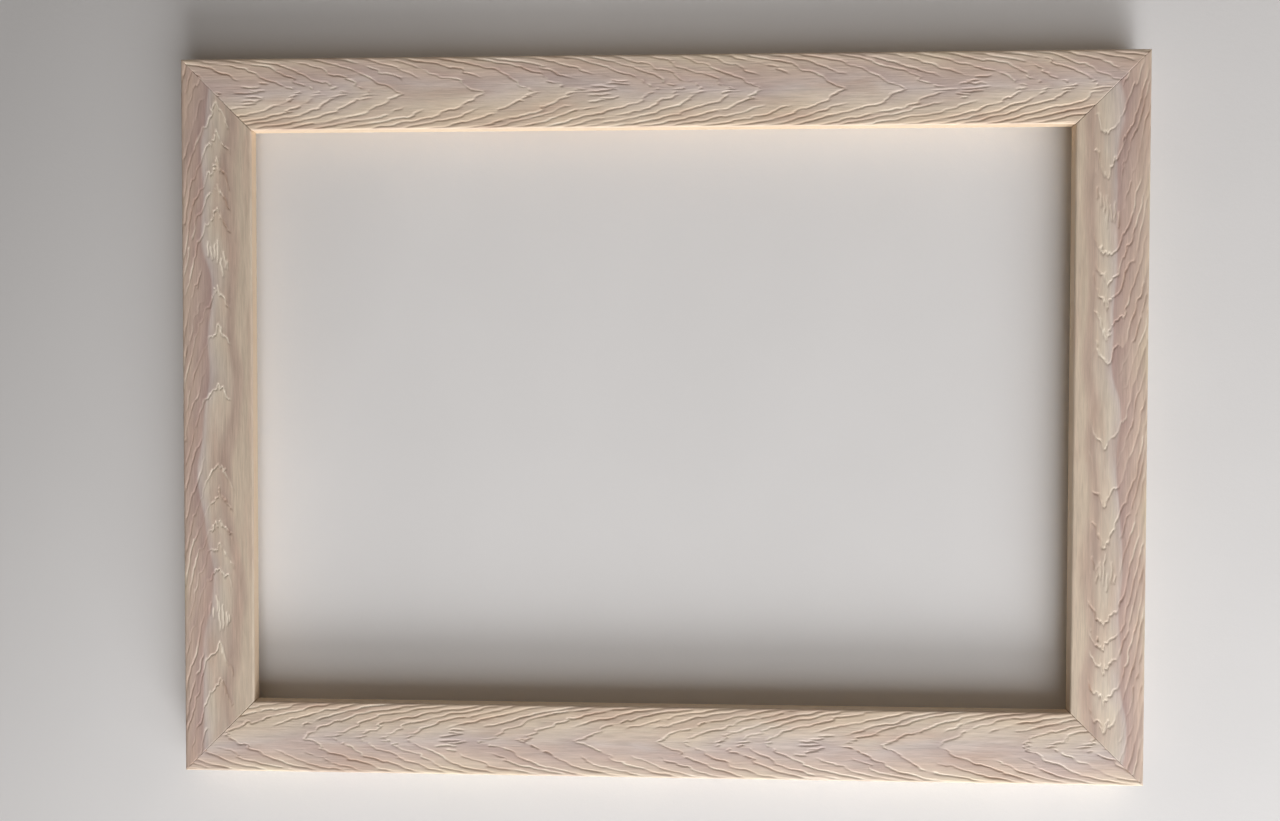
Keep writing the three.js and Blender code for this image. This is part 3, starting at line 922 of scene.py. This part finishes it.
def wood_screw(name, materials):
    """A slotted screw along Y with a domed head, whose underside is at y = 0, and a cut thread."""
    end = -SHANK_LENGTH - POINT_LENGTH
    # The point swells out to the shank, whose rows are close enough together for its thread.
    outline = [(0.0, end), (0.12, end + 0.1)]
    outline += [(SHANK_RADIUS * t ** 0.7, end + POINT_LENGTH * t) for t in np.linspace(0.1, 0.95, 12)]
    outline += [(SHANK_RADIUS, y) for y in np.linspace(-SHANK_LENGTH, -PLAIN_NECK, 40)]
    outline += [(SHANK_RADIUS, 0.0), (HEAD_RADIUS - HEAD_CHAMFER, 0.0), (HEAD_RADIUS, HEAD_CHAMFER)]
    outline += [
        (HEAD_RADIUS * math.cos(t), HEAD_RIM + (HEAD_HEIGHT - HEAD_RIM) * math.sin(t))
        for t in np.linspace(0.0, 0.47 * math.pi, 10)
    ]
    outline.append((0.0, HEAD_HEIGHT))
    screw = lathe(name, outline, 40, materials)

    points = read_points(screw.data) / MM
    x, y, z = points.T
    threaded = smooth_ramp(-PLAIN_NECK, -PLAIN_NECK - 0.6, y) * smooth_ramp(end, end + 0.8, y)
    turn = np.arctan2(z, x) / (2.0 * math.pi)
    ridge = np.abs(((y / THREAD_PITCH + turn) % 1.0) * 2.0 - 1.0)
    scale = 1.0 - THREAD_DEPTH / SHANK_RADIUS * threaded * smooth_ramp(0.15, 0.6, 1.0 - ridge)
    points[:, 0] *= scale
    points[:, 2] *= scale
    screw.data.vertices.foreach_set("co", (points * MM).ravel())

    half, far = SLOT_WIDTH / 2.0, HEAD_RADIUS + OVERSHOOT
    outline = [(-far, -half), (far, -half), (far, half), (-far, half)]
    slot = prism("slot", outline, HEAD_HEIGHT - SLOT_DEPTH, HEAD_HEIGHT + OVERSHOOT, 1)
    combine(screw, slot, "DIFFERENCE")
    soften_edges(screw, 0.07)
    return screw


def turn_button(name, materials):
    """A brass plate with round ends, its pivot at x = z = 0 and its arm along +X."""
    slope = math.asin((BUTTON_PIVOT_RADIUS - BUTTON_TIP_RADIUS) / BUTTON_REACH)
    upper, lower = math.pi / 2.0 - slope, 1.5 * math.pi + slope
    outline = arc(BUTTON_PIVOT_RADIUS, upper, lower, 41)
    outline += arc(BUTTON_TIP_RADIUS, lower, upper + 2.0 * math.pi, 29, (BUTTON_REACH, 0.0))
    half = BUTTON_THICKNESS / 2.0
    button = prism(name, outline, -half, half, 1, materials)
    hole = prism("hole", circle(HOLE_RADIUS, 40), -half - OVERSHOOT, half + OVERSHOOT, 1)
    combine(button, hole, "DIFFERENCE")
    soften_edges(button, 0.22)
    return button


def hanger_strap(name, materials):
    """A strap of sheet folded double round the ring's bar, which lies along X through the origin."""
    outer = EYE_RADIUS + STRAP_SHEET
    leaves_back = 2.0 * STRAP_SHEET - outer
    clear, wide = outer + OVERSHOOT, 2.0 * STRAP_HALF_WIDTH
    fold = arc(outer, -EYE_BEND, math.pi, 30)
    fold += [(-outer, -STRAP_LENGTH), (leaves_back, -STRAP_LENGTH), (leaves_back, -BACK_LEAF_DROP)]
    strap = prism(name, fold, -STRAP_HALF_WIDTH, STRAP_HALF_WIDTH, 0, materials)
    bore = prism("bore", circle(EYE_RADIUS, 32), -wide, wide, 0)
    combine(strap, bore, "DIFFERENCE")

    outline = arc(STRAP_HALF_WIDTH, math.pi, 2.0 * math.pi, 33, (0.0, STRAP_HALF_WIDTH - STRAP_LENGTH))
    outline += [(STRAP_HALF_WIDTH, clear), (-STRAP_HALF_WIDTH, clear)]
    combine(strap, prism("outline", outline, -clear, clear, 1), "INTERSECT")
    hole = prism("hole", circle(HOLE_RADIUS, 40, (0.0, -STRAP_SCREW_DROP)), -clear, clear, 1)
    combine(strap, hole, "DIFFERENCE")
    soften_edges(strap, 0.12)

    seam, end = leaves_back - STRAP_SHEET, -STRAP_LENGTH - OVERSHOOT
    near, far = seam - SEAM_HALF_WIDTH, seam + SEAM_HALF_WIDTH
    slit = [(near, -SEAM_DROP), (far, -SEAM_DROP), (far, end), (near, end)]
    combine(strap, prism("slit", slit, -wide, wide, 0), "DIFFERENCE")
    return strap


def d_ring(name, materials):
    """A ring bent from wire, with its bar along X through the origin and its loop standing up."""
    bend = RING_HALF_WIDTH - RING_CORNER
    half_bar = [(x, 0.0) for x in np.linspace(RING_BUTT_GAP / 2.0, bend, 6)[:-1]]
    half_bar += arc(RING_CORNER, -math.pi / 2.0, 0.0, 9, (bend, RING_CORNER))
    loop = arc(RING_HALF_WIDTH, 0.0, math.pi, 49, (0.0, RING_STRAIGHT_SIDE))
    path = np.array(half_bar + loop + [(-x, z) for x, z in reversed(half_bar)])
    tangent = np.gradient(path, axis=0)
    tangent /= np.linalg.norm(tangent, axis=1, keepdims=True)
    angles = np.arange(WIRE_SIDES) * 2.0 * math.pi / WIRE_SIDES
    aside = WIRE_RADIUS * np.cos(angles)
    points = np.stack([
        path[:, 0, None] + tangent[:, 1, None] * aside,
        WIRE_RADIUS * np.sin(angles) + 0.0 * path[:, :1],
        path[:, 1, None] - tangent[:, 0, None] * aside,
    ], axis=-1).reshape(-1, 3)
    faces = grid_faces(len(path), WIRE_SIDES, close_columns=True)
    first_end = list(range(WIRE_SIDES))
    last_end = list(range(len(points) - WIRE_SIDES, len(points)))
    faces += [first_end[::-1], last_end]
    return new_solid(name, points, faces, materials)


def rubber_foot(name, materials):
    """A soft rubber bumper with a dimple in its far face, which is at y = 0."""
    radius, base, rounding = FOOT_RADIUS, -FOOT_HEIGHT, FOOT_ROUNDING
    outline = [(0.0, base), (radius - 0.4, base), (radius - 0.1, base + 0.15), (radius, base + 0.4)]
    outline += arc(rounding, 0.0, math.pi / 2.0, 9, (radius - rounding, -rounding))
    outline += [(FOOT_DIMPLE_RADIUS, 0.0), (FOOT_DIMPLE_RADIUS - 0.5, -0.12), (0.0, -FOOT_DIMPLE)]
    return lathe(name, outline, 48, materials)


def build_screws(steel):
    """All the screws, each with its slot turned further than the last."""
    for number, node in enumerate(nodes_named("screw")):
        middle = middle_of(node)
        middle.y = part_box(node)[1].y - HEAD_HEIGHT * MM
        screw = wood_screw(node.replace("screw", "slotted_screw"), [steel])
        place(turned(screw, SCREW_TURN * number), middle, "frame", "screw_steel", node)


def build_turn_buttons(brass):
    """The six turn buttons, each pointing the way that its CAD button does."""
    for node in nodes_named("turn_button"):
        pivot = middle_of(node.replace("turn_button", "button_screw"))
        arm = middle_of(node) - pivot
        pivot.y = middle_of(node).y
        button = turn_button(node.replace("turn", "brass"), [brass])
        place(turned(button, math.atan2(-arm.z, arm.x)), pivot, node, "button_brass", node)


def build_hangers(steel):
    """The two D-rings, and the straps folded round their bars."""
    for side in ("left", "right"):
        ring, strap = f"hanger_ring_{side}", f"hanger_strap_{side}"
        low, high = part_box(ring)
        axis = Vector(((low.x + high.x) / 2.0, (low.y + high.y) / 2.0, low.z + WIRE_RADIUS * MM))
        place(d_ring(f"d_ring_{side}", [steel]), axis, ring, "hanger_steel", ring)
        place(hanger_strap(f"folded_strap_{side}", [steel]), axis, "frame", "hanger_steel", strap)


def build_feet(rubber):
    """The four bumpers, each with its far face where its CAD bumper has it."""
    for node in nodes_named("bumper"):
        middle = middle_of(node)
        middle.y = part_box(node)[1].y
        foot = rubber_foot(node.replace("bumper", "rubber_foot"), [rubber])
        place(foot, middle, "frame", "bumper_rubber", node)


def build_hardware():
    """Everything small. The corner nails keep their CAD meshes and are only given their metal."""
    steel = metal("zinc_steel", (0.42, 0.43, 0.44), (0.62, 0.63, 0.64), (0.26, 0.48))
    screw_steel = metal("screw_steel", (0.36, 0.36, 0.37), (0.58, 0.58, 0.59), (0.22, 0.42))
    brass = metal("button_brass", (0.42, 0.27, 0.09), (0.70, 0.50, 0.20), (0.24, 0.46))
    build_screws(screw_steel)
    build_turn_buttons(brass)
    build_hangers(steel)
    build_feet(bumper_rubber())
    for node in nodes_named("corner_nail"):
        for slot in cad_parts[node].material_slots:
            slot.material = steel


# ---------------------------------------------------------------- stage, light and camera


def build_stage():
    """A pale wall behind the frame."""
    half, gap = WALL_HALF_SIZE, WALL_GAP
    corners = [(-half, gap, -half), (half, gap, -half), (half, gap, half), (-half, gap, half)]
    mesh = bpy.data.meshes.new("wall")
    mesh.from_pydata(corners, [], [(0, 1, 2, 3)])
    mesh.materials.append(plaster())
    wall = bpy.data.objects.new("wall", mesh)
    bpy.context.scene.collection.objects.link(wall)


def add_light(data, target, direction, distance):
    """Places a light out from the target in a direction, shining back at it."""
    light = bpy.data.objects.new(data.name, data)
    direction = Vector(direction).normalized()
    light.location = target + direction * distance
    light.rotation_mode = "QUATERNION"
    light.rotation_quaternion = direction.to_track_quat("Z", "Y")
    light.visible_camera = False
    bpy.context.scene.collection.objects.link(light)


def build_lights(target):
    """The lights, and a plain pale backdrop that is seen and reflected but gives no light of its own."""
    for name, (direction, distance, size, power, colour) in LIGHTS.items():
        area = bpy.data.lights.new(name, "AREA")
        area.shape = "RECTANGLE"
        area.size, area.size_y = size
        area.energy = power
        area.color = colour
        add_light(area, target, direction, distance)

    direction, strength, spread = ROOM_LIGHT
    room = bpy.data.lights.new("room", "SUN")
    room.energy = strength
    room.angle = spread
    room.color = WARM
    add_light(room, target, direction, 1.0)

    world = bpy.data.worlds.new("backdrop")
    world.use_nodes = True
    world.node_tree.nodes["Background"].inputs["Color"].default_value = BACKDROP
    bpy.context.scene.world = world
    world.cycles_visibility.diffuse = False
    bpy.context.scene.view_settings.view_transform = "Standard"


def build_camera(centre):
    """The camera. It is worked out in the wall's axes, right, up and out, and then put in the scene's."""
    turn = (Matrix.Rotation(CAMERA_ROLL, 3, "Z") @ Matrix.Rotation(CAMERA_YAW, 3, "Y")
            @ Matrix.Rotation(CAMERA_PITCH, 3, "X")).transposed()
    from_centre = -(turn @ Vector(CAMERA_OFFSET)) * MM
    to_scene = Matrix(((1.0, 0.0, 0.0), (0.0, 0.0, -1.0), (0.0, 1.0, 0.0)))
    data = bpy.data.cameras.new("camera")
    data.sensor_width = CAMERA_SENSOR
    data.lens = CAMERA_LENS
    camera = bpy.data.objects.new("camera", data)
    turned_to_scene = (to_scene @ turn).to_4x4()
    camera.matrix_world = Matrix.Translation(centre + to_scene @ from_centre) @ turned_to_scene
    bpy.context.scene.collection.objects.link(camera)
    bpy.context.scene.camera = camera


def main():
    rails = Rails()
    face_centre = Vector((rails.middle[0], rails.face + CROWN, rails.middle[1])) * MM
    build_camera(face_centre)
    build_stage()
    build_lights(face_centre)

    paint, pine = cream_paint(), raw_pine()
    for side in RAILS:
        wash = washed_wood(f"washed_wood_{side}", *WASHES[side])
        moulding(side, rails, [wash, paint, pine])
    build_hardware()


main()
